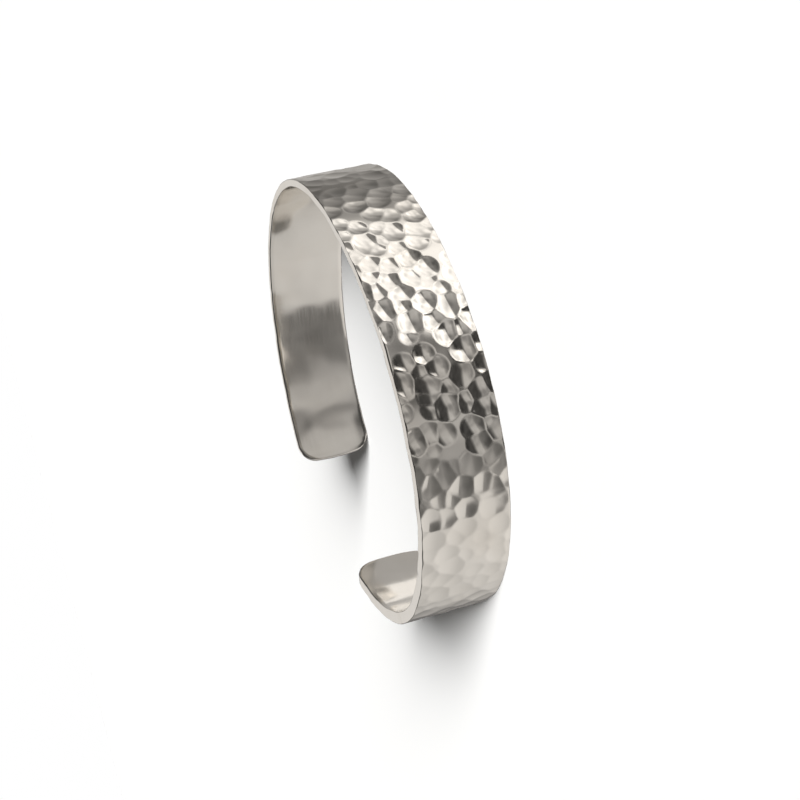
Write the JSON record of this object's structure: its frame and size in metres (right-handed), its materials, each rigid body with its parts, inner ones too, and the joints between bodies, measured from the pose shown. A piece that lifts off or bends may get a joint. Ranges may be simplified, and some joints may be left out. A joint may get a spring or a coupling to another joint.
{
  "type": "cuff bracelet",
  "caption": "Open cuff bracelet bent from one flat hammered silver strip with rounded ends, lying on its side with the mouth at the back.",
  "frame": {"origin": "middle of the base of the bracelet's bounding box, on the surface that it lies on", "axes": "+Z across the strip's width, along the axis of the wrist; -Y towards the front of the bracelet; +Y out through the mouth; +X to the right of one who looks along +Y, and the longest way across the oval"},
  "size_m": [0.0616, 0.0576, 0.011],
  "materials": {
    "silver": "polished sterling silver, hammered on the outer face"
  },
  "bodies": {
    "root": {"cuff_band": "silver"}
  },
  "joints": []
}
